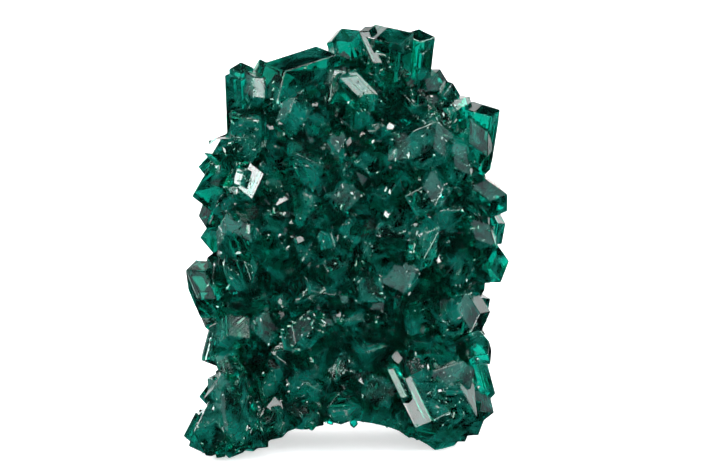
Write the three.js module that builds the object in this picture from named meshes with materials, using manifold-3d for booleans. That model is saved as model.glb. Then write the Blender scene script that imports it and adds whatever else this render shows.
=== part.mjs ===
// A dioptase cluster: one upright crust of emerald-green crystals, grown together and fused in one solid.
// Millimetres, +Z up, +X to the right seen from the front, and the front faces -Y.
import * as THREE from "three";
import { MeshSurfaceSampler } from "three/addons/math/MeshSurfaceSampler.js";
import { mergeVertices } from "three/addons/utils/BufferGeometryUtils.js";
import Module from "manifold-3d";

const wasm = await Module();
wasm.setup();

// Habit of dioptase: a six-sided prism with three rhombic faces on each end.
const PRISM_SIDES = 6;
const RHOMB_TILT = THREE.MathUtils.degToRad(51); // a rhombic face's normal, from the crystal's long axis
// Over a crystal's half width: how far a prism edge is from the long axis, and how far the low corners
// are below the tip.
const EDGE_REACH = 1 / Math.cos(Math.PI / PRISM_SIDES);
const LOW_SHOULDER = Math.tan(RHOMB_TILT) * EDGE_REACH;

// The massive crust that every crystal grows from, as level outlines from the foot to the crown.
const CRUST_SIDES = 18;
const CRUST_SQUARENESS = 2.5; // 2 is an ellipse, more is squarer
const CRUST_LEVELS = [
  { z: -1.5, left: -11.6, right: 9.6, front: -5.6, back: 5.6 },
  { z: 3.5, left: -11.8, right: 11.0, front: -4.6, back: 5.4 },
  { z: 9.0, left: -11.0, right: 11.0, front: -2.6, back: 5.0 },
  { z: 15.0, left: -11.6, right: 12.2, front: -3.6, back: 4.8 },
  { z: 21.0, left: -11.9, right: 12.2, front: -3.8, back: 4.4 },
  { z: 26.0, left: -11.2, right: 11.4, front: -3.4, back: 4.0 },
  { z: 30.0, left: -8.8, right: 9.6, front: -2.6, back: 3.4 },
  { z: 33.0, left: -5.8, right: 6.6, front: -1.4, back: 2.2 },
];

// The broken foot: it stands flat on two feet, with a low arch between them from front to back.
const FOOT_ARCH = { x: -0.2, halfWidth: 8.0, rise: 2.9, depth: 60, sides: 60 };
const ARCH_RADIUS = (FOOT_ARCH.halfWidth ** 2 + FOOT_ARCH.rise ** 2) / (2 * FOOT_ARCH.rise);
const FLOOR_BLOCK = { size: 60, depth: 20 };
const MERGE_DISTANCE = 1e-4; // corners closer than this are one corner

// Crystals that show one broad prism face: where that face is centred, which way it looks (azimuth from the
// front towards +X, then elevation), the spin of its long edges, then the crystal's width and length. A blunt
// one is worn or broken: its ends are only that share as high as the true rhombs make them.
const BROAD_FACES = [
  // the large crystal over the right foot, and the narrower ones grown along and above it
  { at: [8.8, -6.9, 5.2], looks: [12, 8], spin: 299, width: 5.6, length: 9.0, steps: 0 },
  { at: [5.8, -7.7, 5.35], looks: [-39, 17], spin: 299, width: 3.3, length: 6.2, steps: 0, blunt: 0.4 },
  { at: [4.4, -6.7, 6.75], looks: [-36, 17], spin: 299, width: 0.9, length: 4.0, steps: 0 },
  { at: [3.5, -7.2, 10.0], looks: [-36, 18], spin: 72, width: 1.3, length: 3.2, steps: 0, blunt: 0.4 },
  { at: [8.7, -6.0, 7.3], looks: [4, 28], spin: 15, width: 2.6, length: 5.6, steps: 0 },
  // crown
  { at: [-7.5, -2.2, 32.05], looks: [31, 19], spin: 172, width: 3.2, length: 1.7, steps: 0, blunt: 0.15 },
  { at: [-4.2, -4.6, 30.2], looks: [10, 5], spin: 70, width: 2.4, length: 4.4, steps: 0 },
  { at: [0.9, -5.2, 32.75], looks: [0, 42], spin: 318, width: 2.2, length: 4.8, steps: 1 },
  { at: [2.1, -2.6, 35.65], looks: [-34, 22], spin: 296, width: 1.5, length: 5.0, steps: 0 },
  // left flank
  { at: [-10.0, -4.6, 27.4], looks: [-6, 34], spin: 5, width: 2.4, length: 5.0, steps: 0 },
  { at: [-8.2, -6.0, 24.55], looks: [31, 19], spin: 62, width: 2.8, length: 3.1, steps: 0, blunt: 0.15 },
  { at: [-9.4, -6.4, 24.6], looks: [-36, 20], spin: 75, width: 1.3, length: 2.6, steps: 0, blunt: 0.3 },
  { at: [-9.3, -6.0, 20.45], looks: [1, 28], spin: 95, width: 3.4, length: 5.2, steps: 0 },
  { at: [-9.4, -5.4, 16.6], looks: [-8, 8], spin: 110, width: 2.6, length: 4.6, steps: 0 },
  { at: [-12.7, -2.4, 14.55], looks: [-24, 26], spin: 116, width: 2.8, length: 6.0, steps: 0 },
  { at: [-10.8, -4.8, 11.15], looks: [-26, 24], spin: 40, width: 3.0, length: 4.6, steps: 0 },
  { at: [-10.7, -5.4, 8.15], looks: [-30, 20], spin: 115, width: 2.0, length: 4.0, steps: 0 },
  { at: [-10.8, -6.2, 6.15], looks: [-12, 28], spin: 60, width: 2.6, length: 4.6, steps: 0 },
  { at: [-9.7, -8.0, 3.35], looks: [-6, 28], spin: 75, width: 2.9, length: 5.4, steps: 1 },
  // middle of the front
  { at: [6.6, -6.0, 28.15], looks: [8, 29], spin: 20, width: 3.8, length: 6.4, steps: 0 },
  { at: [7.5, -6.2, 24.05], looks: [14, 26], spin: 60, width: 3.0, length: 5.2, steps: 0 },
  { at: [9.9, -4.8, 26.35], looks: [16, 27], spin: 100, width: 2.2, length: 5.0, steps: 0 },
  { at: [4.2, -6.4, 13.85], looks: [32, 16], spin: 85, width: 1.9, length: 3.6, steps: 0 },
  { at: [6.2, -6.6, 19.35], looks: [-30, 20], spin: 80, width: 2.2, length: 4.8, steps: 1 },
  { at: [-3.8, -6.2, 11.65], looks: [-4, 30], spin: 40, width: 2.6, length: 4.8, steps: 0 },
  { at: [2.0, -6.4, 25.95], looks: [-36, 20], spin: 80, width: 0.8, length: 2.6, steps: 0 },
  { at: [-5.8, -6.0, 26.95], looks: [34, 15], spin: 66, width: 0.7, length: 3.6, steps: 0 },
  // right flank
  { at: [11.5, -2.8, 27.75], looks: [18, 26], spin: 88, width: 2.9, length: 5.4, steps: 0 },
  { at: [12.4, -2.4, 22.95], looks: [18, 27], spin: 145, width: 2.6, length: 5.0, steps: 0 },
  { at: [11.8, -3.6, 19.55], looks: [18, 26], spin: 108, width: 2.9, length: 5.2, steps: 0 },
  { at: [10.6, -4.8, 12.75], looks: [16, 27], spin: 62, width: 3.6, length: 5.8, steps: 0 },
  { at: [12.2, -2.0, 6.15], looks: [38, 14], spin: 105, width: 2.2, length: 5.0, steps: 1 },
];

// Crystals that make the outline: where the tip is, which way the long axis points (spin turns from +X
// towards +Z, toward lifts it to the front), then width, length and roll.
const OUTLINE_CRYSTALS = [
  // crown
  { tip: [-9.2, 0.2, 33.9], spin: 94, toward: 0, width: 2.1, length: 7.0, roll: 0, steps: 0, blunt: 0.6 },
  { tip: [-9.2, 0.2, 33.3], spin: 92, toward: 0, width: 2.8, length: 6.4, roll: 0, steps: 0, blunt: 0.4 },
  { tip: [-7.8, -1.2, 31.4], spin: 197, toward: 6, width: 4.0, length: 9.0, roll: 44, steps: 0 },
  { tip: [-0.4, 0.6, 36.8], spin: 104, toward: 6, width: 2.9, length: 6.5, roll: 20, steps: 1, blunt: 0.5 },
  { tip: [3.6, -1.4, 37.2], spin: 88, toward: 10, width: 3.9, length: 8.5, roll: 30, steps: 0, blunt: 0.3 },
  { tip: [3.8, 2.4, 36.2], spin: 86, toward: -8, width: 4.4, length: 9.0, roll: 0, steps: 0, blunt: 0.5 },
  { tip: [6.3, 0.2, 36.8], spin: 84, toward: 2, width: 2.8, length: 8.0, roll: 5, steps: 1, blunt: 0.4 },
  { tip: [8.2, 0.0, 33.3], spin: 62, toward: 8, width: 2.6, length: 5.5, roll: 35, steps: 0 },
  { tip: [9.3, -0.6, 32.2], spin: 55, toward: 18, width: 2.4, length: 5.0, roll: 50, steps: 0 },
  { tip: [10.8, 0.4, 30.8], spin: 48, toward: 10, width: 2.6, length: 5.0, roll: 15, steps: 0 },
  { tip: [11.9, -0.8, 30.3], spin: 82, toward: 10, width: 2.7, length: 6.5, roll: 33, steps: 1, blunt: 0.3 },
  // right flank
  { tip: [12.6, 0.2, 26.0], spin: 4, toward: 6, width: 3.0, length: 6.0, roll: 50, steps: 1 },
  { tip: [13.6, -1.0, 22.4], spin: 350, toward: 24, width: 2.6, length: 6.0, roll: 10, steps: 0 },
  { tip: [14.0, 0.6, 19.4], spin: 8, toward: 2, width: 3.3, length: 6.0, roll: 42, steps: 1, blunt: 0.5 },
  { tip: [14.3, -0.2, 16.2], spin: 2, toward: 8, width: 3.3, length: 6.0, roll: 0, steps: 1, blunt: 0.6 },
  { tip: [12.7, 0.0, 12.8], spin: 22, toward: 6, width: 2.0, length: 5.5, roll: 20, steps: 0 },
  { tip: [12.3, 0.6, 9.4], spin: 340, toward: 0, width: 2.6, length: 6.0, roll: 33, steps: 1 },
  { tip: [12.7, -0.6, 7.0], spin: 312, toward: 8, width: 2.3, length: 6.0, roll: 15, steps: 0 },
  { tip: [13.0, -2.6, 3.1], spin: 345, toward: 14, width: 3.4, length: 7.0, roll: 40, steps: 2 },
  { tip: [11.6, -3.6, 1.3], spin: 310, toward: 20, width: 3.2, length: 6.5, roll: 10, steps: 1 },
  // left flank
  { tip: [-12.1, 0.2, 26.9], spin: 146, toward: 4, width: 3.0, length: 6.5, roll: 18, steps: 1 },
  { tip: [-13.0, 0.4, 24.6], spin: 166, toward: 2, width: 3.0, length: 6.5, roll: 40, steps: 0 },
  { tip: [-13.5, -1.2, 22.2], spin: 192, toward: 22, width: 4.6, length: 9.5, roll: 28, steps: 1 },
  { tip: [-13.0, 0.2, 20.2], spin: 182, toward: 4, width: 2.6, length: 5.5, roll: 30, steps: 0, blunt: 0.6 },
  { tip: [-12.9, 0.4, 18.2], spin: 184, toward: 6, width: 2.8, length: 6.0, roll: 10, steps: 1 },
  { tip: [-13.9, 0.6, 14.2], spin: 178, toward: 0, width: 2.4, length: 6.0, roll: 12, steps: 0 },
  { tip: [-13.0, 0.4, 11.4], spin: 158, toward: 6, width: 2.2, length: 5.5, roll: 25, steps: 1 },
  { tip: [-12.1, -1.4, 8.2], spin: 176, toward: 18, width: 2.4, length: 5.5, roll: 40, steps: 0 },
  { tip: [-13.0, -2.0, 4.4], spin: 186, toward: 12, width: 2.8, length: 6.0, roll: 12, steps: 1 },
  // left foot
  { tip: [-14.3, -4.2, 1.4], spin: 187, toward: 10, width: 3.6, length: 8.0, roll: 30, steps: 2 },
  { tip: [-13.8, -5.4, 0.8], spin: 205, toward: 24, width: 3.0, length: 7.0, roll: 40, steps: 1 },
  { tip: [-12.2, -8.4, 0.7], spin: 240, toward: 42, width: 3.4, length: 8.0, roll: 10, steps: 1 },
  { tip: [-9.6, -8.2, 0.9], spin: 276, toward: 40, width: 3.6, length: 8.5, roll: 30, steps: 1 },
  { tip: [-7.4, -7.8, 1.4], spin: 320, toward: 58, width: 2.6, length: 6.5, roll: 20, steps: 0 },
];

// Smaller crystals grown parallel on a crystal's flanks, which make steps on its faces. Each is given as a
// range, over the crystal's width: how wide it is, how far it stands proud, and how far back its tip is.
const STEP_WIDTH = [0.45, 0.7];
const STEP_PROUD = [0.05, 0.13];
const STEP_SETBACK = [0.15, 0.45];
const STEP_DRIFT = 0.5; // how far it drifts off the face's middle, over the room beside it

// The rest of the crystals, in rounds from large to small: how many are tried, their widths, how far their
// tips rise over the crust, and the room that each keeps to its neighbours, as a share of both widths.
const FILL_ROUNDS = [
  { tries: 600, width: [3.2, 4.4], rise: [1.5, 2.4], room: 0.36 },
  { tries: 900, width: [2.4, 3.2], rise: [1.4, 2.2], room: 0.36 },
  { tries: 360, width: [1.8, 2.4], rise: [1.4, 2.2], room: 0.38 },
];
const BACK_COARSENESS = 1.7; // how much wider the crystals are on the sides and the back
const FRONT_ENDS = -0.35; // the crust is its front where its normal's Y is below this
const FLANK_STARTS = 0.6; // and a flank where its normal's X is beyond this, either way
const FLANK_RISE = 0.4; // how far the tips rise on a flank, over their rise elsewhere
const FILL_LEAN = 0.75; // how far a crystal leans away from square to the crust
const FILL_FLATNESS = [0.8, 1.15]; // a crystal's depth over its width
const ROOT_DEPTH = 2.2; // how far a crystal reaches into the crust
const LEAST_SLENDERNESS = 1.25; // length over width, so that a crystal's two ends stay apart
const LOWEST_ROOT = 0.4; // no crystal starts below this height
const GROWTH_SEED = 11811;

const DIOPTASE_GREEN = new THREE.MeshStandardMaterial({
  color: 0x0b4a3e,
  roughness: 0.12,
  metalness: 0.0,
});

// A repeatable stream of numbers from 0 to 1.
function randomStream(seed) {
  let state = seed >>> 0;
  return () => {
    state = (state + 0x6d2b79f5) >>> 0;
    let t = Math.imul(state ^ (state >>> 15), state | 1);
    t ^= t + Math.imul(t ^ (t >>> 7), t | 61);
    return ((t ^ (t >>> 14)) >>> 0) / 4294967296;
  };
}
const random = randomStream(GROWTH_SEED);
const between = ([low, high]) => low + (high - low) * random();

// A closed surface as a solid that can be joined and cut.
function solidOf(geometry) {
  const bare = geometry.clone();
  bare.deleteAttribute("normal");
  bare.deleteAttribute("uv");
  const merged = mergeVertices(bare, MERGE_DISTANCE);
  return new wasm.Manifold(
    new wasm.Mesh({
      numProp: 3,
      vertProperties: new Float32Array(merged.attributes.position.array),
      triVerts: new Uint32Array(merged.index.array),
    }),
  );
}

// A solid's surface as a geometry with flat faces.
function geometryOf(solid) {
  const mesh = solid.getMesh();
  const geometry = new THREE.BufferGeometry();
  geometry.setAttribute("position", new THREE.BufferAttribute(mesh.vertProperties, 3));
  geometry.setIndex(new THREE.BufferAttribute(mesh.triVerts, 1));
  return geometry;
}

// One crystal with its tip at the origin and its long axis along +Z: six prism edges between a ring of
// corners at each end, alternately low and high, and a tip beyond each ring.
function crystalGeometry(width, length, flatness, blunt) {
  const half = width / 2;
  const corners = [];
  for (const end of [0, 1]) {
    for (let edge = 0; edge < PRISM_SIDES; edge += 1) {
      const turn = (2 * Math.PI * (edge + 0.5)) / PRISM_SIDES;
      const low = (edge + end) % 2 === 0;
      const drop = half * LOW_SHOULDER * blunt * (low ? 1 : 0.5);
      corners.push([
        half * EDGE_REACH * Math.cos(turn),
        half * EDGE_REACH * Math.sin(turn) * flatness,
        end === 0 ? -drop : drop - length,
      ]);
    }
  }
  corners.push([0, 0, 0], [0, 0, -length]);
  const nearTip = 2 * PRISM_SIDES;
  const farTip = nearTip + 1;
  const far = (corner) => corner + PRISM_SIDES;
  const faces = [];
  for (let edge = 0; edge < PRISM_SIDES; edge += 1) {
    const next = (edge + 1) % PRISM_SIDES;
    const before = (edge + PRISM_SIDES - 1) % PRISM_SIDES;
    faces.push(far(edge), far(next), next, far(edge), next, edge);
    if (edge % 2 === 0) faces.push(nearTip, before, edge, nearTip, edge, next);
    else faces.push(farTip, far(edge), far(before), farTip, far(next), far(edge));
  }
  const geometry = new THREE.BufferGeometry();
  geometry.setAttribute("position", new THREE.Float32BufferAttribute(corners.flat(), 3));
  geometry.setIndex(faces);
  return geometry;
}

// A crystal set where it grew: its tip, the way its long axis points, and the way one prism face looks.
function grownCrystal({ tip, along, facing, width, length, flatness = 1, blunt = 1 }) {
  const aside = new THREE.Vector3().crossVectors(along, facing);
  const place = new THREE.Matrix4().makeBasis(facing, aside, along).setPosition(tip);
  return solidOf(crystalGeometry(width, length, flatness, blunt).applyMatrix4(place));
}

// The way a prism face looks when the crystal is turned about its long axis by the roll.
function facingFrom(along, roll) {
  const upright = new THREE.Vector3(0, 0, 1);
  const aim = new THREE.Quaternion().setFromUnitVectors(upright, along);
  return new THREE.Vector3(Math.cos(roll), Math.sin(roll), 0).applyQuaternion(aim);
}

// The crust as rings of a rounded rectangle, closed by a fan at the foot and at the crown.
function crustGeometry() {
  const corners = [];
  const round = (value) => Math.sign(value) * Math.abs(value) ** (2 / CRUST_SQUARENESS);
  for (const { z, left, right, front, back } of CRUST_LEVELS) {
    for (let side = 0; side < CRUST_SIDES; side += 1) {
      const turn = (2 * Math.PI * side) / CRUST_SIDES;
      corners.push(
        (left + right) / 2 + ((right - left) / 2) * round(Math.cos(turn)),
        (front + back) / 2 + ((back - front) / 2) * round(Math.sin(turn)),
        z,
      );
    }
  }
  const crown = CRUST_LEVELS.at(-1);
  const foot = CRUST_LEVELS[0];
  for (const { z, left, right, front, back } of [foot, crown])
    corners.push((left + right) / 2, (front + back) / 2, z);
  const footCentre = CRUST_LEVELS.length * CRUST_SIDES;
  const crownCentre = footCentre + 1;
  const topRing = footCentre - CRUST_SIDES;
  const faces = [];
  for (let side = 0; side < CRUST_SIDES; side += 1) {
    const next = (side + 1) % CRUST_SIDES;
    for (let ring = 0; ring < topRing; ring += CRUST_SIDES) {
      const above = ring + CRUST_SIDES;
      faces.push(ring + side, ring + next, above + next, ring + side, above + next, above + side);
    }
    faces.push(footCentre, next, side, crownCentre, topRing + side, topRing + next);
  }
  const geometry = new THREE.BufferGeometry();
  geometry.setAttribute("position", new THREE.Float32BufferAttribute(corners, 3));
  geometry.setIndex(faces);
  return geometry;
}

// A crystal known by its broad face: the long axis lies in that face, along its spin seen from the front.
function broadFaceCrystal({ at, looks, spin, width, length, steps, blunt }) {
  const [azimuth, elevation] = looks.map(THREE.MathUtils.degToRad);
  const around = THREE.MathUtils.degToRad(spin);
  const facing = new THREE.Vector3(
    Math.sin(azimuth) * Math.cos(elevation),
    -Math.cos(azimuth) * Math.cos(elevation),
    Math.sin(elevation),
  );
  const depth = -(Math.cos(around) * facing.x + Math.sin(around) * facing.z) / facing.y;
  const along = new THREE.Vector3(Math.cos(around), depth, Math.sin(around)).normalize();
  const tip = new THREE.Vector3(...at)
    .addScaledVector(facing, -width / 2)
    .addScaledVector(along, length / 2);
  return { tip, along, facing, width, length, steps, blunt };
}

// A crystal of the outline, known by its tip.
function outlineCrystal({ tip, spin, toward, width, length, roll, steps, blunt }) {
  const around = THREE.MathUtils.degToRad(spin);
  const lift = THREE.MathUtils.degToRad(toward);
  const along = new THREE.Vector3(
    Math.cos(around) * Math.cos(lift),
    -Math.sin(lift),
    Math.sin(around) * Math.cos(lift),
  );
  const facing = facingFrom(along, THREE.MathUtils.degToRad(roll));
  return { tip: new THREE.Vector3(...tip), along, facing, width, length, steps, blunt };
}

// The steps on a crystal: parallel crystals, each half sunk in one of its prism faces.
function stepsOn({ tip, along, facing, width, length, steps }) {
  return Array.from({ length: steps }, (_, step) => {
    const size = width * between(STEP_WIDTH);
    const outward = facing.clone().applyAxisAngle(along, (2 * Math.PI * (step - 1)) / PRISM_SIDES);
    const sideways = new THREE.Vector3().crossVectors(along, outward);
    const setback = width * between(STEP_SETBACK);
    return {
      tip: tip
        .clone()
        .addScaledVector(outward, (width - size) / 2 + width * between(STEP_PROUD))
        .addScaledVector(sideways, (width - size) * STEP_DRIFT * (random() - 0.5))
        .addScaledVector(along, -setback),
      along,
      facing,
      width: size,
      length: Math.max(length - 2 * setback, size * LEAST_SLENDERNESS),
    };
  });
}

// Crystals thrown on the crust, kept wherever they have room beside the ones already there.
function fillCrystals(crust, taken) {
  const sampler = new MeshSurfaceSampler(new THREE.Mesh(crust)).setRandomGenerator(random).build();
  const spot = new THREE.Vector3();
  const square = new THREE.Vector3();
  const grown = [];
  const roots = taken.map(({ tip, along, width, length }) => ({
    at: tip.clone().addScaledVector(along, -Math.min(length / 2, width)),
    width,
  }));
  for (const { tries, width, rise, room } of FILL_ROUNDS) {
    for (let count = 0; count < tries; count += 1) {
      sampler.sample(spot, square);
      const across = between(width) * (square.y > FRONT_ENDS ? BACK_COARSENESS : 1);
      const height = between(rise) * (Math.abs(square.x) > FLANK_STARTS ? FLANK_RISE : 1);
      const lean = new THREE.Vector3(random() * 2 - 1, random() * 2 - 1, random() * 2 - 1);
      const roll = random() * Math.PI;
      const flatness = between(FILL_FLATNESS);
      const along = square.clone().addScaledVector(lean, FILL_LEAN).normalize();
      const tip = spot.clone().addScaledVector(along, height);
      const crowded = roots.some(({ at, width: other }) => at.distanceTo(spot) < room * (other + across));
      if (crowded || spot.z < LOWEST_ROOT || inArch(tip) || inArch(spot)) continue;
      roots.push({ at: spot.clone(), width: across });
      const length = Math.max(height + ROOT_DEPTH, across * LEAST_SLENDERNESS);
      grown.push({ tip, along, facing: facingFrom(along, roll), width: across, length, flatness });
    }
  }
  return grown;
}

// Whether a point is in the arch under the foot.
function inArch({ x, z }) {
  return Math.hypot(x - FOOT_ARCH.x, z - FOOT_ARCH.rise + ARCH_RADIUS) < ARCH_RADIUS;
}

function archSolid() {
  const arch = new THREE.CylinderGeometry(ARCH_RADIUS, ARCH_RADIUS, FOOT_ARCH.depth, FOOT_ARCH.sides);
  arch.translate(FOOT_ARCH.x, 0, FOOT_ARCH.rise - ARCH_RADIUS);
  return solidOf(arch);
}

function groundSolid() {
  const ground = new THREE.BoxGeometry(FLOOR_BLOCK.size, FLOOR_BLOCK.size, FLOOR_BLOCK.depth);
  ground.translate(0, 0, -FLOOR_BLOCK.depth / 2);
  return solidOf(ground);
}

function clusterGeometry() {
  const crust = crustGeometry();
  const main = [...BROAD_FACES.map(broadFaceCrystal), ...OUTLINE_CRYSTALS.map(outlineCrystal)];
  const steps = main.flatMap(stepsOn);
  const fill = fillCrystals(crust, main);
  const body = wasm.Manifold.union([solidOf(crust), ...fill.map(grownCrystal)]).subtract(archSolid());
  const proud = wasm.Manifold.union([...main, ...steps].map(grownCrystal));
  const grown = body.add(proud).subtract(groundSolid());
  const largest = grown.decompose().sort((a, b) => b.volume() - a.volume())[0];
  const geometry = geometryOf(largest);
  geometry.computeBoundingBox();
  const { min, max } = geometry.boundingBox;
  geometry.translate(-(min.x + max.x) / 2, -(min.y + max.y) / 2, -min.z);
  return geometry;
}

const cluster = new THREE.Mesh(clusterGeometry(), DIOPTASE_GREEN);
cluster.name = "crystal_cluster";

const dioptase = new THREE.Group();
dioptase.add(cluster);

export default dioptase;
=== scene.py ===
"""Dresses the dioptase cluster: see-through green crystals with cloudy veils and growth lines, low growth
steps along their faces, a druse of small crystals in the hollows, and tiny laths that glint."""

import math

import bpy
import numpy as np
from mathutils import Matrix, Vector


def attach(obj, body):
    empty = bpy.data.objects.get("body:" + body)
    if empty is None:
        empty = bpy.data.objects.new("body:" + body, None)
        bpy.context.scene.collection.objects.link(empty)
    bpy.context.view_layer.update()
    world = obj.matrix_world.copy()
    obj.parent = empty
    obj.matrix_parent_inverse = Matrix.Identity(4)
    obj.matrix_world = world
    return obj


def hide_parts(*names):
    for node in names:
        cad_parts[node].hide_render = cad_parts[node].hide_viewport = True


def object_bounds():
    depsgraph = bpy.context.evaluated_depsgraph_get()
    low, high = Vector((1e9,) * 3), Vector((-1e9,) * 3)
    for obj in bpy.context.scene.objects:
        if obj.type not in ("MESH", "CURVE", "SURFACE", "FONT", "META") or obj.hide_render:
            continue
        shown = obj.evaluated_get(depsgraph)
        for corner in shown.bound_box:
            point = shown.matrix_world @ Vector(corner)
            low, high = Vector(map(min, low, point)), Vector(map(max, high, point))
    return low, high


bl_info = {
    "name": "Dioptase Cluster",
    "version": (1, 0, 0),
    "blender": (4, 5, 0),
    "location": "View3D > Sidebar > Dioptase",
    "description": "Builds the looks of an intergrown dioptase cluster around its solid",
    "category": "Add Mesh",
}

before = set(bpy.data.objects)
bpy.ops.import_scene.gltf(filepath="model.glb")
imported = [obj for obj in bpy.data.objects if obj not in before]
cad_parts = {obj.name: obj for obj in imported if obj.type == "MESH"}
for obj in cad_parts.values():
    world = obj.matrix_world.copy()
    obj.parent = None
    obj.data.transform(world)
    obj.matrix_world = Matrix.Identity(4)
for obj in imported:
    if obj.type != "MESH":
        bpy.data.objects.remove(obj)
CAD_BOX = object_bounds()
CLUSTER = "crystal_cluster"
MM = 0.001

# Habit of dioptase: a six-sided prism with three rhombic faces on each end.
PRISM_SIDES = 6
RHOMB_TILT = math.radians(51)
EDGE_REACH = 1 / math.cos(math.pi / PRISM_SIDES)
LOW_SHOULDER = math.tan(RHOMB_TILT) * EDGE_REACH
LEAST_SLENDERNESS = 1.25

# The photograph's frame and the size of its pixels on the cluster.
PHOTO_WIDTH = 708
PIXEL = 0.0875 * MM
SENSOR_WIDTH = 36.0

# Corners that agree to this step are one corner, and triangles whose normals and distances from the origin
# agree to these steps lie in one facet.
CORNER_STEP = 1e-4 * MM
NORMAL_STEPS = 400
OFFSET_STEP = 0.02 * MM

# Stand in for a direction and an area of nothing, which can't be divided by.
NEAR_ZERO = 1e-9
NO_AREA = 1e-18


def linear(hex_colour):
    """An sRGB hex colour as linear red, green, blue and a full alpha."""
    channels = np.array([int(hex_colour[i : i + 2], 16) for i in (1, 3, 5)]) / 255
    low = channels / 12.92
    high = ((channels + 0.055) / 1.055) ** 2.4
    return (*np.where(channels <= 0.04045, low, high).tolist(), 1.0)


def unit(vectors):
    """Each row divided by its own length."""
    return vectors / np.linalg.norm(vectors, axis=-1, keepdims=True)


class CrystalSettings(bpy.types.PropertyGroup):
    """Finish of the crystal itself."""

    clear_colour: bpy.props.StringProperty(
        name="Clear colour",
        description="sRGB hex colour of light that goes in and out through a clear face",
        default="#26E8CC",
    )
    cloud_colour: bpy.props.StringProperty(
        name="Cloud colour",
        description="sRGB hex colour of the cloudy veils under the faces",
        default="#009A8A",
    )
    clear_share: bpy.props.FloatProperty(
        name="Clear share",
        description="Share of light that passes through the clearest faces",
        default=0.993,
        subtype="FACTOR",
    )
    cloud_share: bpy.props.FloatProperty(
        name="Cloudy share",
        description="Share of light that passes through the cloudiest faces",
        default=0.78,
        subtype="FACTOR",
    )
    clear_roughness: bpy.props.FloatProperty(
        name="Clear roughness",
        description="How far the clearest crystal spreads the light that goes in",
        default=0.12,
        subtype="FACTOR",
    )
    cloud_roughness: bpy.props.FloatProperty(
        name="Cloudy roughness",
        description="How far the cloudiest crystal spreads the light that goes in",
        default=0.4,
        subtype="FACTOR",
    )
    face_roughness: bpy.props.FloatProperty(
        name="Face roughness",
        description="Etching of the faces, from a mirror to matt",
        default=0.08,
        subtype="FACTOR",
    )
    absorption_colour: bpy.props.FloatVectorProperty(
        name="Absorption colour",
        description="Linear colour of light that has passed through the crystal",
        subtype="COLOR",
        size=3,
        default=(0.0, 0.825, 0.81),
    )
    absorption_density: bpy.props.FloatProperty(
        name="Absorption",
        description="Share of the absorbed colour that is lost on each metre",
        default=2600.0,
        min=0.0,
    )
    ior: bpy.props.FloatProperty(
        name="IOR", description="Refractive index of dioptase", default=1.67, min=1.0, max=3.0
    )
    edge_wear: bpy.props.FloatProperty(
        name="Edge wear",
        description="How far the large crystals' proud edges are worn back",
        default=0.07 * MM,
        unit="LENGTH",
    )


class StepSettings(bpy.types.PropertyGroup):
    """Growth steps along the large faces."""

    count: bpy.props.IntProperty(name="Count", description="Steps on all faces", default=650, min=0)
    least_face: bpy.props.FloatProperty(
        name="Least face",
        description="Area in square metres of the smallest face that has steps",
        default=1.2 * MM**2,
        precision=9,
    )
    half_width: bpy.props.FloatVectorProperty(
        name="Half width",
        description="Least and most half width of a step",
        size=2,
        subtype="XYZ_LENGTH",
        default=(0.02 * MM, 0.09 * MM),
    )
    height: bpy.props.FloatVectorProperty(
        name="Height",
        description="Least and most height of a step over its face",
        size=2,
        subtype="XYZ_LENGTH",
        default=(0.015 * MM, 0.05 * MM),
    )
    seed: bpy.props.IntProperty(name="Seed", description="Start of the random growth", default=5)


class DruseSettings(bpy.types.PropertyGroup):
    """Small crystals that grow in the hollows between the large ones."""

    count: bpy.props.IntProperty(
        name="Count", description="Small crystals in the hollows", default=1000, min=0
    )
    width: bpy.props.FloatVectorProperty(
        name="Width",
        description="Least and most width of a small crystal",
        size=2,
        subtype="XYZ_LENGTH",
        default=(0.6 * MM, 2.1 * MM),
    )
    fine_count: bpy.props.IntProperty(
        name="Fine count", description="Tiny crystals in the creases", default=3200, min=0
    )
    fine_width: bpy.props.FloatVectorProperty(
        name="Fine width",
        description="Least and most width of a tiny crystal",
        size=2,
        subtype="XYZ_LENGTH",
        default=(0.2 * MM, 0.65 * MM),
    )
    seed: bpy.props.IntProperty(name="Seed", description="Start of the random growth", default=42)


class LathSettings(bpy.types.PropertyGroup):
    """Tiny laths that lie on the crystals."""

    count: bpy.props.IntProperty(name="Count", description="Laths on all crystals", default=8000, min=0)
    width: bpy.props.FloatVectorProperty(
        name="Width",
        description="Least and most width of a lath",
        size=2,
        subtype="XYZ_LENGTH",
        default=(0.05 * MM, 0.27 * MM),
    )
    seed: bpy.props.IntProperty(name="Seed", description="Start of the random growth", default=17)


class StudioSettings(bpy.types.PropertyGroup):
    """The camera: how far it stands, how far it looks down, and where it aims."""

    distance: bpy.props.FloatProperty(
        name="Camera distance", description="From the camera to its aim", default=0.42, unit="LENGTH"
    )
    elevation: bpy.props.FloatProperty(
        name="Camera elevation",
        description="How far the camera looks down",
        default=math.radians(12),
        subtype="ANGLE",
    )
    aim: bpy.props.FloatVectorProperty(
        name="Aim",
        description="Point at the middle of the picture",
        size=3,
        subtype="TRANSLATION",
        default=(0.66 * MM, 0.0, 18.7 * MM),
    )


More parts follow.
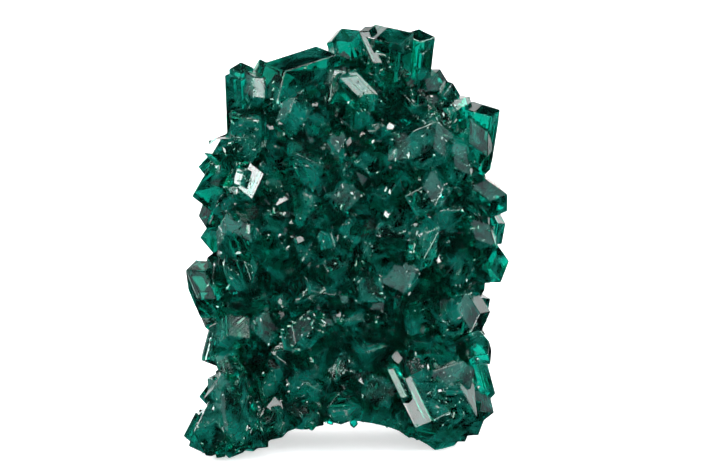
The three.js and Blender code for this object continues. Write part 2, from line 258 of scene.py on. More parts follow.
def solid_mesh():
    """The solid's corners, merged where they coincide, and its triangles."""
    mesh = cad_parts[CLUSTER].data
    corners = np.empty(len(mesh.vertices) * 3, np.float32)
    mesh.vertices.foreach_get("co", corners)
    mesh.calc_loop_triangles()
    triangles = np.empty(len(mesh.loop_triangles) * 3, np.int32)
    mesh.loop_triangles.foreach_get("vertices", triangles)
    grid = np.round(corners.reshape(-1, 3) / CORNER_STEP).astype(np.int64)
    _, first, merged = np.unique(grid, axis=0, return_index=True, return_inverse=True)
    points = corners.reshape(-1, 3)[first].astype(float)
    triangles = merged.reshape(-1)[triangles].reshape(-1, 3)
    distinct = (triangles[:, 0] != triangles[:, 1]) & (triangles[:, 1] != triangles[:, 2])
    distinct &= triangles[:, 2] != triangles[:, 0]
    return points, triangles[distinct]


def triangle_frames(points, triangles):
    """Each triangle's normal, area and middle."""
    a, b, c = (points[triangles[:, i]] for i in range(3))
    cross = np.cross(b - a, c - a)
    area = np.linalg.norm(cross, axis=1) / 2
    normal = cross / np.maximum(2 * area, NO_AREA)[:, None]
    return normal, area, (a + b + c) / 3


def facets_of(points, triangles):
    """Number of the flat facet that each triangle belongs to: triangles with one normal and one distance
    from the origin lie in one facet."""
    normal, _, middle = triangle_frames(points, triangles)
    offset = np.sum(normal * middle, axis=1)
    key = np.column_stack([np.round(normal * NORMAL_STEPS), np.round(offset / OFFSET_STEP)])
    key = key.astype(np.int64)
    return np.unique(key, axis=0, return_inverse=True)[1].reshape(-1)


def facet_axes(points, triangles, facet):
    """Each facet's long direction, which is that of its longest triangle edge, the one across it, and its
    normal."""
    normal, _, _ = triangle_frames(points, triangles)
    starts = points[triangles]
    edges = np.roll(starts, -1, axis=1) - starts
    lengths = np.linalg.norm(edges, axis=2)
    longest = lengths.argmax(axis=1)
    rows = np.arange(len(triangles))
    order = np.lexsort((lengths[rows, longest], facet))
    last = np.append(np.nonzero(np.diff(facet[order]))[0], len(order) - 1)
    chosen = order[last]
    along = unit(edges[chosen, longest[chosen]])
    across = np.cross(normal[chosen], along)
    return along, across, normal[chosen]


def paired_edges(triangles):
    """Each edge's two corners, and the two triangles that share it."""
    sides = np.concatenate([triangles[:, [0, 1]], triangles[:, [1, 2]], triangles[:, [2, 0]]])
    owner = np.tile(np.arange(len(triangles)), 3)
    ordered = np.sort(sides, axis=1)
    order = np.lexsort((ordered[:, 1], ordered[:, 0]))
    ordered, owner = ordered[order], owner[order]
    first = np.nonzero(np.all(ordered[1:] == ordered[:-1], axis=1))[0]
    return ordered[first], owner[first], owner[first + 1]


def surface_spots(points, triangles, weight, count, random):
    """Random spots on the triangles, evenly by weight and area, and the triangle that each lies on."""
    _, area, _ = triangle_frames(points, triangles)
    chance = area * weight
    chosen = random.choice(len(triangles), count, p=chance / chance.sum())
    share = random.random((count, 2))
    outside = share.sum(axis=1) > 1
    share[outside] = 1 - share[outside]
    a, b, c = (points[triangles[chosen, i]] for i in range(3))
    return a + share[:, :1] * (b - a) + share[:, 1:] * (c - a), chosen


# Where small crystals hardly grow: on faces larger than this, low on the two feet, and near the outline.
BARE_FACE = 3.0 * MM**2
FOOT_START = 6.5 * MM
FOOT_HEIGHT = 6.0 * MM
FOOT_SHARE = 0.1
OUTLINE_STEP = 1.0 * MM
OUTLINE_RIM = 0.9 * MM
OUTLINE_REACH = 2.0 * MM


def outline_room(points, spots):
    """How far each spot is inside the cluster's outline, seen from the front or the back: the least of its
    way to the left and right ends at its height and to the top over it, read from the corners in steps."""
    level = np.round(points[:, 2] / OUTLINE_STEP).astype(int)
    column = np.round((points[:, 0] - CAD_BOX[0][0]) / OUTLINE_STEP).astype(int)
    left = np.full(level.max() + 1, np.inf)
    right = np.full(level.max() + 1, -np.inf)
    top = np.full(column.max() + 1, -np.inf)
    np.minimum.at(left, level, points[:, 0])
    np.maximum.at(right, level, points[:, 0])
    np.maximum.at(top, column, points[:, 2])
    row = np.round(spots[:, 2] / OUTLINE_STEP).astype(int)
    place = np.round((spots[:, 0] - CAD_BOX[0][0]) / OUTLINE_STEP).astype(int)
    sideways = np.minimum(spots[:, 0] - left[row], right[row] - spots[:, 0])
    return np.minimum(sideways, top[place] - spots[:, 2])


def growth_share(points, triangles):
    """How readily small crystals grow on each triangle, from 0 to 1: less the larger its facet is, by one
    over one plus the square of the facet's area, less on the feet and not at all at the outline."""
    facet = facets_of(points, triangles)
    _, area, middle = triangle_frames(points, triangles)
    room = 1 / (1 + (np.bincount(facet, area)[facet] / BARE_FACE) ** 2)
    foot = np.clip(middle[:, 2] / FOOT_HEIGHT, FOOT_SHARE, 1)
    room *= np.where(np.abs(middle[:, 0]) > FOOT_START, foot, 1)
    inside = (outline_room(points, middle) - OUTLINE_RIM) / OUTLINE_REACH
    return room * np.clip(inside, 0, 1)


# Ways that the faces look which flash together, as azimuth from the front and elevation in degrees. Crystals
# that grow on one another share their directions.
FLASH_LOOKS = ((-36, 20), (31, 19), (0, 47), (144, 20), (211, 19), (180, 47))
FLASH_LIKENESS = 0.98  # how much a flashing face looks the same way as one of these
FLASH_FACE = 2.0 * MM**2  # a flashing face larger than this is bare, and so is the rim around it
FLASH_RIM = 0.8 * MM
FLASH_SPOTS = 1500
FLASH_SEED = 1500


def flash_looks():
    """The directions of the flashing faces as vectors."""
    azimuth, elevation = np.radians(np.array(FLASH_LOOKS)).T
    level = np.cos(elevation)
    return np.stack([np.sin(azimuth) * level, -np.cos(azimuth) * level, np.sin(elevation)], axis=1)


def beside_flash(spots, points, triangles):
    """Whether each spot is on a large flashing face or close to one: its way to the nearest of many spots
    spread on those faces is less than the rim."""
    facet = facets_of(points, triangles)
    normal, area, _ = triangle_frames(points, triangles)
    flashing = (normal @ flash_looks().T).max(axis=1) > FLASH_LIKENESS
    large = np.bincount(facet, area)[facet] > FLASH_FACE
    random = np.random.default_rng(FLASH_SEED)
    bare, _ = surface_spots(points, triangles, flashing & large, FLASH_SPOTS, random)
    gap = np.linalg.norm(spots[:, None, :] - bare[None, :, :], axis=2)
    return gap.min(axis=1) < FLASH_RIM


# How the druse grows in the hollows: a hollow is measured as far as its reach, at many spots, a slice of them
# at a time. Both the chance of a crystal and its size rise with the hollow's depth between their limits.
DRUSE_FLOOR = 0.4 * MM
HOLLOW_SPOTS = 7000
HOLLOW_SLICES = 16
HOLLOW_REACH = 2.2 * MM
CHANCE_DEPTH = 0.6 * MM
FLAT_CHANCE = 0.3
CHANCE_LIMITS = (0.02, 1.3)
SIZE_DEPTH = 0.7 * MM
FLAT_SIZE = 0.5
SIZE_LIMITS = (0.15, 1.0)
SIZE_POWER = 1.4  # most crystals are small
DRUSE_LEAN = 0.45  # in radians
DRUSE_HEIGHT = (0.35, 0.85)  # over the spot, in shares of the crystal's width
DRUSE_SLENDERNESS = 1.9  # most length in shares of the width

# How the tiny crystals grow in the creases, where one facet rises over the other by at least this share.
CREASE_RISE = 0.15
FINE_STRAY = 0.12 * MM
FINE_LEAN = 0.6
FINE_POWER = 2
FINE_HEIGHT = (0.4, 1.1)
FINE_SLENDERNESS = 2.0


def hollowness(spots, normal, reach):
    """How far the surface around each spot stands over it, and which way that surface looks: the mean place
    of the spots within reach, less the spot, measured along their mean normal."""
    depth = np.empty(len(spots))
    outward = np.empty_like(spots)
    for rows in np.array_split(np.arange(len(spots)), HOLLOW_SLICES):
        gap = np.linalg.norm(spots[rows, None, :] - spots[None, :, :], axis=2)
        near = (gap < reach).astype(float)
        mean = near @ spots / near.sum(axis=1, keepdims=True)
        outward[rows] = unit(near @ normal + NEAR_ZERO)
        depth[rows] = np.sum((mean - spots[rows]) * outward[rows], axis=1)
    return depth, outward


def crease_edges(points, triangles, normal, middle):
    """Ends and outward direction of each hollow edge, where two facets lean towards each other, and the two
    triangles beside it."""
    edges, one, two = paired_edges(triangles)
    rise = np.sum((middle[two] - middle[one]) * normal[one], axis=1)
    reach = np.linalg.norm(middle[two] - middle[one], axis=1)
    hollow = rise > CREASE_RISE * reach
    ends = edges[hollow]
    outward = unit(normal[one][hollow] + normal[two][hollow] + NEAR_ZERO)
    beside = np.column_stack([one[hollow], two[hollow]])
    return points[ends[:, 0]], points[ends[:, 1]], outward, beside


def crystal_corners(width, length):
    """Corners of many crystals with their tips at the origin and their long axes along +Z: a ring of six
    corners at each end, alternately low and high, then the two tips."""
    half = width[:, None] / 2
    turn = 2 * np.pi * (np.arange(PRISM_SIDES) + 0.5) / PRISM_SIDES
    low = np.where(np.arange(PRISM_SIDES) % 2 == 0, LOW_SHOULDER, LOW_SHOULDER / 2)
    ring_x = half * EDGE_REACH * np.cos(turn)
    ring_y = half * EDGE_REACH * np.sin(turn)
    near = np.stack([ring_x, ring_y, -half * low], axis=2)
    far = np.stack([ring_x, ring_y, half * np.roll(low, 1) - length[:, None]], axis=2)
    tips = np.zeros((len(width), 2, 3))
    tips[:, 1, 2] = -length
    return np.concatenate([near, far, tips], axis=1)


def crystal_faces():
    """The four-sided faces of one crystal: six of the prism and three rhombs on each end."""
    near_tip = 2 * PRISM_SIDES
    faces = []
    for edge in range(PRISM_SIDES):
        after = (edge + 1) % PRISM_SIDES
        before = (edge - 1) % PRISM_SIDES
        far, far_after, far_before = (i + PRISM_SIDES for i in (edge, after, before))
        faces.append((far, far_after, after, edge))
        if edge % 2 == 0:
            faces.append((near_tip, before, edge, after))
        else:
            faces.append((near_tip + 1, far_after, far, far_before))
    return np.array(faces)


def copies(corners, faces):
    """Many shapes with the same faces as one list of corners and one of faces."""
    per_shape = corners.shape[1]
    shifted = faces[None] + (np.arange(len(corners)) * per_shape)[:, None, None]
    return corners.reshape(-1, 3), shifted.reshape(-1, faces.shape[1])


def grow(tip, along, facing, width, length):
    """Corners and faces of many crystals, each placed by its tip, long axis and the way one face looks. Those
    that would reach under the floor are left out."""
    facing = unit(facing - along * np.sum(facing * along, axis=1, keepdims=True))
    aside = np.cross(along, facing)
    basis = np.stack([facing, aside, along], axis=1)
    corners = np.einsum("nki,nij->nkj", crystal_corners(width, length), basis) + tip[:, None, :]
    above = corners[:, :, 2].min(axis=1) > 0
    return copies(corners[above], crystal_faces())


def mesh_piece(name, corners, faces, material):
    """A piece made of the given corners and faces, riding on the cluster's body."""
    mesh = bpy.data.meshes.new(name)
    mesh.from_pydata(corners.tolist(), [], faces.tolist())
    mesh.update()
    mesh.materials.append(material)
    piece = bpy.data.objects.new(name, mesh)
    bpy.context.scene.collection.objects.link(piece)
    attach(piece, "root")
    return piece


def add_node(tree, kind, links=None, values=None, **settings):
    """Adds a node, sets its options and input values, and links its inputs to other nodes' outputs."""
    node = tree.nodes.new(kind)
    for option, value in settings.items():
        setattr(node, option, value)
    for socket, value in (values or {}).items():
        node.inputs[socket].default_value = value
    for socket, output in (links or {}).items():
        tree.links.new(output, node.inputs[socket])
    return node


# Cloudy veils in the crystal: their size, and the noise values between which they come in.
VEIL_SIZE = 2.6 * MM
VEIL_EDGES = (0.47, 0.72)

# Growth lines: how often they vary along a face and across it, on each millimetre, and how deep they are.
LINE_SCALE = (0.2, 5.0, 1.0)
LINE_DEPTH = 0.05 * MM
LINE_STRENGTH = 0.12
LINE_SEED = 7
LINE_SCATTER = 100  # millimetres over which the faces' lines start, so that no two agree


def vitreous_dioptase(name, settings, veiled):
    """Natural dioptase: green crystal with sharp glassy faces. The eye sees mirror-like faces over a soft
    green depth, so the shine sits in a coat, and the body under it spreads light. The large crystals have
    cloudy veils that glow under the faces, and fine growth lines along each face. The small ones don't show
    either."""
    material = bpy.data.materials.new(name)
    material.use_nodes = True
    tree = material.node_tree
    tree.nodes.clear()
    place = add_node(tree, "ShaderNodeTexCoord")
    veil = add_node(
        tree,
        "ShaderNodeTexNoise",
        {"Vector": place.outputs["Object"]},
        {"Scale": 1 / VEIL_SIZE, "Detail": 5.0, "Roughness": 0.65, "Distortion": 0.8},
    )
    cloudy = add_node(
        tree,
        "ShaderNodeMapRange",
        {"Value": veil.outputs["Fac"]},
        {"From Min": VEIL_EDGES[0], "From Max": VEIL_EDGES[1]},
    )
    tint = add_node(tree, "ShaderNodeMix", {"Factor": cloudy.outputs["Result"]}, data_type="RGBA")
    tint.inputs["A"].default_value = linear(settings.clear_colour)
    tint.inputs["B"].default_value = linear(settings.cloud_colour)
    shine = add_node(
        tree,
        "ShaderNodeBsdfPrincipled",
        {"Base Color": tint.outputs["Result"]},
        {
            "IOR": settings.ior,
            "Roughness": settings.clear_roughness,
            "Transmission Weight": settings.clear_share,
            "Specular Tint": linear("#000000"),  # only the coat reflects
            "Coat Weight": 1.0,
            "Coat Roughness": settings.face_roughness,
            "Coat IOR": settings.ior,
        },
    )
    if veiled:
        clear = add_node(
            tree,
            "ShaderNodeMapRange",
            {"Value": cloudy.outputs["Result"]},
            {"To Min": settings.clear_share, "To Max": settings.cloud_share},
        )
        spread = add_node(
            tree,
            "ShaderNodeMapRange",
            {"Value": cloudy.outputs["Result"]},
            {"To Min": settings.clear_roughness, "To Max": settings.cloud_roughness},
        )
        tree.links.new(clear.outputs["Result"], shine.inputs["Transmission Weight"])
        tree.links.new(spread.outputs["Result"], shine.inputs["Roughness"])
        lines = add_node(
            tree,
            "ShaderNodeMapping",
            {"Vector": place.outputs["UV"]},
            {"Scale": LINE_SCALE},
        )
        ridges = add_node(
            tree,
            "ShaderNodeTexNoise",
            {"Vector": lines.outputs["Vector"]},
            {"Scale": 1.0, "Detail": 3.0, "Roughness": 0.6},
        )
        bump = add_node(
            tree,
            "ShaderNodeBump",
            {"Height": ridges.outputs["Fac"]},
            {"Strength": LINE_STRENGTH, "Distance": LINE_DEPTH},
        )
        tree.links.new(bump.outputs["Normal"], shine.inputs["Normal"])
        tree.links.new(bump.outputs["Normal"], shine.inputs["Coat Normal"])
    absorption = add_node(
        tree,
        "ShaderNodeVolumeAbsorption",
        None,
        {"Color": (*settings.absorption_colour, 1.0), "Density": settings.absorption_density},
    )
    add_node(
        tree,
        "ShaderNodeOutputMaterial",
        {"Surface": shine.outputs["BSDF"], "Volume": absorption.outputs["Volume"]},
    )
    return material


# An edge is worn where the facets beside it are at least this large and turn by more than this.
WORN_FACET = 0.3 * MM**2
WORN_TURN = math.cos(math.radians(26))
WORN_STEPS = 2


def wear_edges(piece, points, triangles, facet, width):
    """Rounds a piece's proud edges, where two facets lean away from each other, by a live bevel. The bevel
    isn't clamped, because one sliver would then keep all the edges sharp."""
    normal, area, middle = triangle_frames(points, triangles)
    edges, one, two = paired_edges(triangles)
    rise = np.sum((middle[two] - middle[one]) * normal[one], axis=1)
    turn = np.sum(normal[one] * normal[two], axis=1)
    facet_area = np.bincount(facet, area)[facet]
    worn = (rise < 0) & (turn < WORN_TURN)
    worn &= np.minimum(facet_area[one], facet_area[two]) > WORN_FACET
    worn &= points[edges][:, :, 2].min(axis=1) > width
    mesh = piece.data
    drawn = np.empty(len(mesh.edges) * 2, np.int32)
    mesh.edges.foreach_get("vertices", drawn)
    drawn = np.sort(drawn.reshape(-1, 2).astype(np.int64), axis=1)
    number = drawn[:, 0] * len(points) + drawn[:, 1]
    worn_number = edges[worn, 0].astype(np.int64) * len(points) + edges[worn, 1]
    weight = mesh.attributes.new("bevel_weight_edge", "FLOAT", "EDGE")
    weight.data.foreach_set("value", np.isin(number, worn_number).astype(np.float32))
    bevel = piece.modifiers.new("worn_edges", "BEVEL")
    bevel.limit_method = "WEIGHT"
    bevel.width = width
    bevel.segments = WORN_STEPS
    bevel.use_clamp_overlap = False


class DIOPTASE_OT_crystal_mass(bpy.types.Operator):
    """Makes the large crystals: the solid's own facets, each with lines laid along it"""

    bl_idname = "dioptase.crystal_mass"
    bl_label = "Large Crystals"

    def execute(self, context):
        points, triangles = solid_mesh()
        facet = facets_of(points, triangles)
        along, across, _ = facet_axes(points, triangles, facet)
        scatter = np.random.default_rng(LINE_SEED).uniform(0, LINE_SCATTER, (len(along), 2))
        material = vitreous_dioptase("vitreous_dioptase", context.scene.dioptase_crystal, True)
        piece = mesh_piece("large_crystals", points, triangles, material)
        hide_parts(CLUSTER)
        corners = points[triangles]
        lines = np.stack(
            [
                np.sum(corners * along[facet][:, None, :], axis=2) / MM + scatter[facet, 0][:, None],
                np.sum(corners * across[facet][:, None, :], axis=2) / MM + scatter[facet, 1][:, None],
            ],
            axis=2,
        )
        layer = piece.data.uv_layers.new(name="facet_lines")
        layer.data.foreach_set("uv", lines.astype(np.float32).reshape(-1))
        wear_edges(piece, points, triangles, facet, context.scene.dioptase_crystal.edge_wear)
        return {"FINISHED"}


def facet_rims(points, triangles, facet):
    """The edges around each facet: their two ends in order of facet, and where each facet's edges start and
    how many it has."""
    edges, one, two = paired_edges(triangles)
    rim = facet[one] != facet[two]
    edges = np.concatenate([edges[rim], edges[rim]])
    owner = np.concatenate([facet[one[rim]], facet[two[rim]]])
    order = np.argsort(owner, kind="stable")
    count = np.bincount(owner, minlength=facet.max() + 1)
    start = np.cumsum(count) - count
    return points[edges[order]], start, count


def room_along(along_ends, across_ends, row, rows, offset):
    """Room before and after each spot along its facet: where the line through it, at an offset across,
    first crosses the rim on either side."""
    shifted = across_ends - offset[row][:, None]
    crosses = shifted[:, 0] * shifted[:, 1] < 0
    share = shifted[crosses, 0] / (shifted[crosses, 0] - shifted[crosses, 1])
    place = along_ends[crosses, 0] + share * (along_ends[crosses, 1] - along_ends[crosses, 0])
    before = np.full(rows, -np.inf)
    after = np.full(rows, np.inf)
    behind = place < 0
    np.maximum.at(before, row[crosses][behind], place[behind])
    np.minimum.at(after, row[crosses][~behind], place[~behind])
    return before, after


def step_room(points, triangles, facet, axes, spots, face, half):
    """How far a step of the given half width goes before and after each spot without leaving its facet."""
    along, across = axes
    ends, start, count = facet_rims(points, triangles, facet)
    row = np.repeat(np.arange(len(spots)), count[face])
    first = np.repeat(start[face] - np.cumsum(count[face]) + count[face], count[face])
    rim = ends[first + np.arange(len(row))] - spots[row][:, None, :]
    rim_along = np.sum(rim * along[face][row][:, None, :], axis=2)
    rim_across = np.sum(rim * across[face][row][:, None, :], axis=2)
    low_side = room_along(rim_along, rim_across, row, len(spots), -half)
    high_side = room_along(rim_along, rim_across, row, len(spots), half)
    return np.maximum(low_side[0], high_side[0]), np.minimum(low_side[1], high_side[1])


STEP_FLOOR = 1.0 * MM  # no steps on faces with their middle below this
STRIATED_SHARE = 0.3  # share of the large faces that have steps
STEP_SLENDERNESS = 3  # least room for a step, in half widths
STEP_ROLL = 0.03  # how far a step leans about its long edge, in radians
STEP_ROOT = 0.12 * MM  # how far a step goes down into its crystal
# Half of the ends lie almost at the face's rim, and the others fall short of it.
RIM_SHARE = 0.5
RIM_REACH = 0.97
SHORT_REACH = (0.3, 0.95)
# A plate's ends and sides in the order of its corners, and its faces: four corners below, then four above.
PLATE_CORNERS = ((0, -1), (1, -1), (1, 1), (0, 1))
PLATE_FACES = np.array(
    [(3, 2, 1, 0), (4, 5, 6, 7), (0, 1, 5, 4), (1, 2, 6, 5), (2, 3, 7, 6), (3, 0, 4, 7)]
)


class DIOPTASE_OT_growth_steps(bpy.types.Operator):
    """Makes the growth steps: low narrow plates that lie along the large faces"""

    bl_idname = "dioptase.growth_steps"
    bl_label = "Growth Steps"

    def execute(self, context):
        settings = context.scene.dioptase_steps
        random = np.random.default_rng(settings.seed)
        points, triangles = solid_mesh()
        facet = facets_of(points, triangles)
        along, across, normal = facet_axes(points, triangles, facet)
        _, area, middle = triangle_frames(points, triangles)
        face_area = np.bincount(facet, area)
        large = (face_area[facet] > settings.least_face) & (middle[:, 2] > STEP_FLOOR)
        flashing = (normal @ flash_looks().T).max(axis=1) > FLASH_LIKENESS
        striated = flashing | (random.random(len(normal)) < STRIATED_SHARE)
        weight = large & striated[facet]
        spots, chosen = surface_spots(points, triangles, weight, settings.count, random)
        face = facet[chosen]
        half = random.uniform(*settings.half_width, len(spots))
        before, after = step_room(points, triangles, facet, (along, across), spots, face, half)
        fits = np.isfinite(before) & np.isfinite(after) & (after - before > STEP_SLENDERNESS * half)
        at_rim = random.random((2, len(spots))) < RIM_SHARE
        reach = np.where(at_rim, RIM_REACH, random.uniform(*SHORT_REACH, (2, len(spots))))
        height = random.uniform(*settings.height, len(spots))
        roll = random.normal(0, STEP_ROLL, len(spots))
        corners = []
        for top in (False, True):
            for end, side in PLATE_CORNERS:
                length = (after * reach[1] if end else before * reach[0])[:, None]
                breadth = (side * half)[:, None]
                rise = np.where(top, height, -STEP_ROOT)[:, None] + roll[:, None] * breadth
                corners.append(
                    spots + along[face] * length + across[face] * breadth + normal[face] * rise
                )
        corners = np.stack(corners, axis=1)[fits]
        material = vitreous_dioptase("step_dioptase", context.scene.dioptase_crystal, False)
        mesh_piece("growth_steps", *copies(corners, PLATE_FACES), material)
        return {"FINISHED"}


def hollow_crystals(settings, random, points, triangles, share):
    """Corners and faces of the small crystals in the hollows, which lean out of them."""
    normal, _, middle = triangle_frames(points, triangles)
    standing = middle[:, 2] > DRUSE_FLOOR
    spots, chosen = surface_spots(points, triangles, standing, HOLLOW_SPOTS, random)
    depth, outward = hollowness(spots, normal[chosen], HOLLOW_REACH)
    chance = np.clip(depth / CHANCE_DEPTH + FLAT_CHANCE, *CHANCE_LIMITS) * share[chosen]
    chance *= ~beside_flash(spots, points, triangles)
    picked = random.choice(len(spots), settings.count, replace=False, p=chance / chance.sum())
    deep = np.clip(depth[picked] / SIZE_DEPTH + FLAT_SIZE, *SIZE_LIMITS)
    size = random.random(settings.count) ** SIZE_POWER * deep
    width = settings.width[0] + (settings.width[1] - settings.width[0]) * size
    along = unit(outward[picked] + random.normal(0, DRUSE_LEAN, (settings.count, 3)))
    height = width * random.uniform(*DRUSE_HEIGHT, settings.count)
    stem = width * random.uniform(LEAST_SLENDERNESS, DRUSE_SLENDERNESS, settings.count)
    facing = random.normal(0, 1, (settings.count, 3))
    tip = spots[picked] + along * height[:, None]
    return grow(tip, along, facing, width, stem)


def crease_crystals(settings, random, points, triangles, share):
    """Corners and faces of the tiny crystals in the creases, strewn along each of them."""
    normal, _, middle = triangle_frames(points, triangles)
    start, end, outward, beside = crease_edges(points, triangles, normal, middle)
    chance = np.linalg.norm(end - start, axis=1) * share[beside].mean(axis=1)
    chance *= ~beside_flash((start + end) / 2, points, triangles)
    picked = random.choice(len(chance), settings.fine_count, p=chance / chance.sum())
    place = random.random((settings.fine_count, 1))
    root = start[picked] * (1 - place) + end[picked] * place
    root = root + random.normal(0, FINE_STRAY, root.shape)
    along = unit(outward[picked] + random.normal(0, FINE_LEAN, root.shape))
    facing = random.normal(0, 1, root.shape)
    size = random.random(settings.fine_count) ** FINE_POWER
    width = settings.fine_width[0] + (settings.fine_width[1] - settings.fine_width[0]) * size
    height = width * random.uniform(*FINE_HEIGHT, settings.fine_count)
    stem = width * random.uniform(LEAST_SLENDERNESS, FINE_SLENDERNESS, settings.fine_count)
    tip = root + along * height[:, None]
    return grow(tip, along, facing, width, stem)


class DIOPTASE_OT_druse(bpy.types.Operator):
    """Makes the small crystals in the hollows and the tiny ones in the creases between the large ones"""

    bl_idname = "dioptase.druse"
    bl_label = "Druse"

    def execute(self, context):
        settings = context.scene.dioptase_druse
        random = np.random.default_rng(settings.seed)
        points, triangles = solid_mesh()
        share = growth_share(points, triangles)
        material = vitreous_dioptase("druse_dioptase", context.scene.dioptase_crystal, False)
        small = hollow_crystals(settings, random, points, triangles, share)
        mesh_piece("druse_crystals", *small, material)
        tiny = crease_crystals(settings, random, points, triangles, share)
        mesh_piece("fine_druse", *tiny, material)
        return {"FINISHED"}


LATH_FLOOR = 0.8 * MM  # no laths on faces with their middle below this
LATH_SPREAD = 0.05  # how far a lath's looks stray, in radians
LATH_CHOICE = 0.12  # how freely a lath picks one of the ways to look
LATH_POWER = 2.5  # most laths are narrow
LATH_LENGTH = 3  # most length over the least, in widths
LATH_LENGTH_POWER = 3  # most laths are short
LATH_SINK = 0.3  # how deep a lath's middle lies, in widths
LATH_LIKENESS = 0.6  # a lath lies only on a face that looks at least this much the same way


class DIOPTASE_OT_laths(bpy.types.Operator):
    """Makes the tiny laths that lie on the crystals and flash together"""

    bl_idname = "dioptase.laths"
    bl_label = "Laths"

    def execute(self, context):
        settings = context.scene.dioptase_laths
        random = np.random.default_rng(settings.seed)
        points, triangles = solid_mesh()
        normal, _, middle = triangle_frames(points, triangles)
        looks = flash_looks()
        likeness = normal @ looks.T
        flat = np.clip((likeness.max(axis=1) - LATH_LIKENESS) / (1 - LATH_LIKENESS), 0, 1)
        standing = middle[:, 2] > LATH_FLOOR
        weight = standing * flat * np.sqrt(growth_share(points, triangles))
        spots, chosen = surface_spots(points, triangles, weight, settings.count, random)
        favour = likeness[chosen] + random.normal(0, LATH_CHOICE, (len(spots), len(looks)))
        facing = unit(looks[favour.argmax(axis=1)] + random.normal(0, LATH_SPREAD, spots.shape))
        along = unit(np.cross(facing, random.normal(0, 1, spots.shape)))
        size = random.random(len(spots)) ** LATH_POWER
        width = settings.width[0] + (settings.width[1] - settings.width[0]) * size
        extra = LATH_LENGTH * random.random(len(spots)) ** LATH_LENGTH_POWER
        length = width * (LEAST_SLENDERNESS + extra)
        tip = spots + along * (length / 2)[:, None] - facing * (LATH_SINK * width)[:, None]
        material = vitreous_dioptase("lath_dioptase", context.scene.dioptase_crystal, False)
        mesh_piece("tiny_laths", *grow(tip, along, facing, width, length), material)
        return {"FINISHED"}


# The lights: name, place, size, brightness and colour. The boxes with their brighter cores make the white
# faces and the cards the grey ones. The back card shines through the crystals, and the back boxes light the
# back.
WHITE = "#FFFFFF"
CARD = "#CFE2EA"
LIGHTS = (
    ("left_box", (-0.34, -0.10, 0.15), (0.11, 0.16), 5.5, WHITE),
    ("right_box", (0.33, -0.16, 0.15), (0.11, 0.16), 5.5, WHITE),
    ("top_box", (0.0, -0.06, 0.42), (0.24, 0.16), 5.5, WHITE),
    ("left_core", (-0.32, -0.094, 0.142), (0.06, 0.06), 8.0, WHITE),
    ("right_core", (0.31, -0.15, 0.142), (0.06, 0.06), 8.0, WHITE),
    ("top_core", (0.0, -0.056, 0.39), (0.06, 0.06), 8.0, WHITE),
    ("front_left_card", (-0.22, -0.22, 0.26), (0.15, 0.12), 1.2, CARD),
    ("front_card", (0.02, -0.29, 0.30), (0.15, 0.12), 1.2, CARD),
    ("front_right_card", (0.22, -0.25, 0.25), (0.15, 0.12), 1.2, CARD),
    ("right_card", (0.36, 0.06, 0.10), (0.2, 0.24), 0.6, CARD),
    ("left_card", (-0.36, 0.10, 0.10), (0.2, 0.24), 0.6, CARD),
    ("back_card", (0.0, 0.75, 0.22), (1.5, 0.7), 0.9, WHITE),
    ("back_left_box", (-0.24, 0.30, 0.20), (0.11, 0.14), 6.0, WHITE),
    ("back_right_box", (0.26, 0.28, 0.20), (0.11, 0.14), 6.0, WHITE),
)
LIT_HEIGHT = 18 * MM

# Small bright lamps in front, above and beside, which make the tiny glints.
SPARK_SIZE = (0.024, 0.024)
SPARK_BRIGHTNESS = 18.0
SPARK_PLACES = (
    (-0.22, -0.30, 0.30),
    (0.24, -0.30, 0.26),
    (0.06, -0.22, 0.40),
    (-0.10, -0.36, 0.20),
    (0.14, -0.38, 0.12),
    (-0.34, -0.22, 0.06),
    (0.36, -0.24, 0.05),
    (-0.18, -0.10, 0.40),
    (0.22, -0.06, 0.36),
)

# The floor: a flat disc, the bend around it and the top of the wall, all in metres.
FLOOR_INNER = 0.3
FLOOR_RADIUS = 0.75
FLOOR_BEND = 0.35
FLOOR_BEND_STEPS = 13
FLOOR_SIDES = 64
WALL_TOP = 1.6
PAPER = "#F1F1F2"
PAPER_GLOW = 0.55
SURROUND = "#0C1416"
NEAR_LIMIT = 0.01  # nearest that the camera sees, in metres


def soft_light(name, place, size, radiance, colour):
    """A rectangular light that faces the cluster's middle, with the given brightness on its face."""
    middle = Vector((0, 0, LIT_HEIGHT))
    light = bpy.data.lights.new(name, "AREA")
    light.shape = "RECTANGLE"
    light.size, light.size_y = size
    light.energy = radiance * math.pi * size[0] * size[1]
    light.color = linear(colour)[:3]
    lamp = bpy.data.objects.new(name, light)
    lamp.location = place
    lamp.rotation_euler = (middle - Vector(place)).to_track_quat("-Z", "Y").to_euler()
    bpy.context.scene.collection.objects.link(lamp)
    return lamp


def round_sweep():
    """The floor: a flat disc that curves up all round into a low wall, as a profile turned about Z."""
    bend = np.linspace(0, math.pi / 2, FLOOR_BEND_STEPS)[1:]
    curve = FLOOR_RADIUS + FLOOR_BEND * np.sin(bend)
    radius = np.concatenate([[FLOOR_INNER, FLOOR_RADIUS], curve, [FLOOR_RADIUS + FLOOR_BEND]])
    height = np.concatenate([[0.0, 0.0], FLOOR_BEND * (1 - np.cos(bend)), [WALL_TOP]])
    turn = 2 * np.pi * np.arange(FLOOR_SIDES) / FLOOR_SIDES
    rings = np.stack(
        [
            radius[:, None] * np.cos(turn),
            radius[:, None] * np.sin(turn),
            np.repeat(height[:, None], FLOOR_SIDES, axis=1),
        ],
        axis=2,
    ).reshape(-1, 3)
    ring = np.arange(len(radius) - 1)[:, None] * FLOOR_SIDES
    side = np.arange(FLOOR_SIDES)
    after = (side + 1) % FLOOR_SIDES
    outer = ring + FLOOR_SIDES
    quads = np.stack([ring + side, ring + after, outer + after, outer + side], axis=2)
    return rings, quads.reshape(-1, 4)


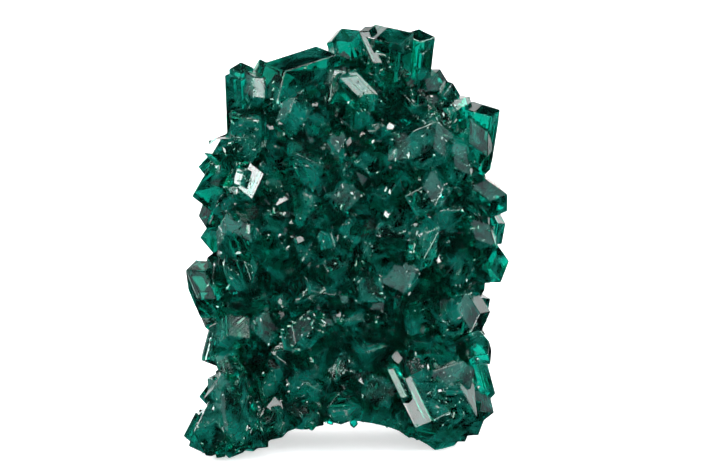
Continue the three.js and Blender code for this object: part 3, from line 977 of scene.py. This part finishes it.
def paper_floor(scene):
    """White paper that glows a little, so that it stays white behind and under the cluster."""
    rings, quads = round_sweep()
    mesh = bpy.data.meshes.new("floor")
    mesh.from_pydata(rings.tolist(), [], quads.tolist() + [list(range(FLOOR_SIDES))])
    mesh.update()
    paper = bpy.data.materials.new("white_paper")
    paper.use_nodes = True
    shade = paper.node_tree.nodes["Principled BSDF"]
    shade.inputs["Base Color"].default_value = linear(PAPER)
    shade.inputs["Roughness"].default_value = 0.9
    shade.inputs["Specular IOR Level"].default_value = 0.0
    shade.inputs["Emission Color"].default_value = linear(WHITE)
    shade.inputs["Emission Strength"].default_value = PAPER_GLOW
    paper.cycles.emission_sampling = "NONE"
    mesh.materials.append(paper)
    floor = bpy.data.objects.new("floor", mesh)
    scene.collection.objects.link(floor)
    floor.visible_glossy = False


def photo_camera(scene, studio):
    """A camera whose picture is as wide as the photograph at the cluster."""
    camera = bpy.data.cameras.new("camera")
    camera.sensor_width = SENSOR_WIDTH
    camera.lens = SENSOR_WIDTH * studio.distance / (PHOTO_WIDTH * PIXEL)
    camera.clip_start = NEAR_LIMIT
    eye = bpy.data.objects.new("camera", camera)
    scene.collection.objects.link(eye)
    away = Vector((0, -math.cos(studio.elevation), math.sin(studio.elevation)))
    eye.location = Vector(studio.aim) + away * studio.distance
    eye.rotation_euler = (-away).to_track_quat("-Z", "Y").to_euler()
    scene.camera = eye


class DIOPTASE_OT_stage(bpy.types.Operator):
    """Makes the pale floor, the soft lights and the camera"""

    bl_idname = "dioptase.stage"
    bl_label = "Stage"

    def execute(self, context):
        scene = context.scene
        paper_floor(scene)
        world = bpy.data.worlds.new("studio")
        world.use_nodes = True
        world.node_tree.nodes["Background"].inputs["Color"].default_value = linear(SURROUND)
        scene.world = world
        for light in LIGHTS:
            soft_light(*light)
        for number, place in enumerate(SPARK_PLACES):
            soft_light(f"spark_{number}", place, SPARK_SIZE, SPARK_BRIGHTNESS, WHITE)
        photo_camera(scene, scene.dioptase_studio)
        scene.view_settings.view_transform = "Standard"
        scene.cycles.use_denoising = True
        scene.cycles.max_bounces = 12
        scene.cycles.transmission_bounces = 12
        scene.cycles.glossy_bounces = 8
        scene.cycles.diffuse_bounces = 4
        return {"FINISHED"}


class DIOPTASE_PT_panel(bpy.types.Panel):
    """Lists the steps that dress the cluster"""

    bl_label = "Dioptase"
    bl_idname = "DIOPTASE_PT_panel"
    bl_space_type = "VIEW_3D"
    bl_region_type = "UI"
    bl_category = "Dioptase"

    def draw(self, context):
        for operator in OPERATORS:
            self.layout.operator(operator.bl_idname)


OPERATORS = (
    DIOPTASE_OT_crystal_mass,
    DIOPTASE_OT_growth_steps,
    DIOPTASE_OT_druse,
    DIOPTASE_OT_laths,
    DIOPTASE_OT_stage,
)
GROUPS = {
    "dioptase_crystal": CrystalSettings,
    "dioptase_steps": StepSettings,
    "dioptase_druse": DruseSettings,
    "dioptase_laths": LathSettings,
    "dioptase_studio": StudioSettings,
}


def register():
    for name, group in GROUPS.items():
        bpy.utils.register_class(group)
        setattr(bpy.types.Scene, name, bpy.props.PointerProperty(type=group))
    for cls in (*OPERATORS, DIOPTASE_PT_panel):
        bpy.utils.register_class(cls)


def unregister():
    for cls in (DIOPTASE_PT_panel, *reversed(OPERATORS)):
        bpy.utils.unregister_class(cls)
    for name, group in GROUPS.items():
        delattr(bpy.types.Scene, name)
        bpy.utils.unregister_class(group)


def main():
    register()
    bpy.ops.dioptase.crystal_mass()
    bpy.ops.dioptase.growth_steps()
    bpy.ops.dioptase.druse()
    bpy.ops.dioptase.laths()
    bpy.ops.dioptase.stage()


if __name__ == "__main__":
    main()
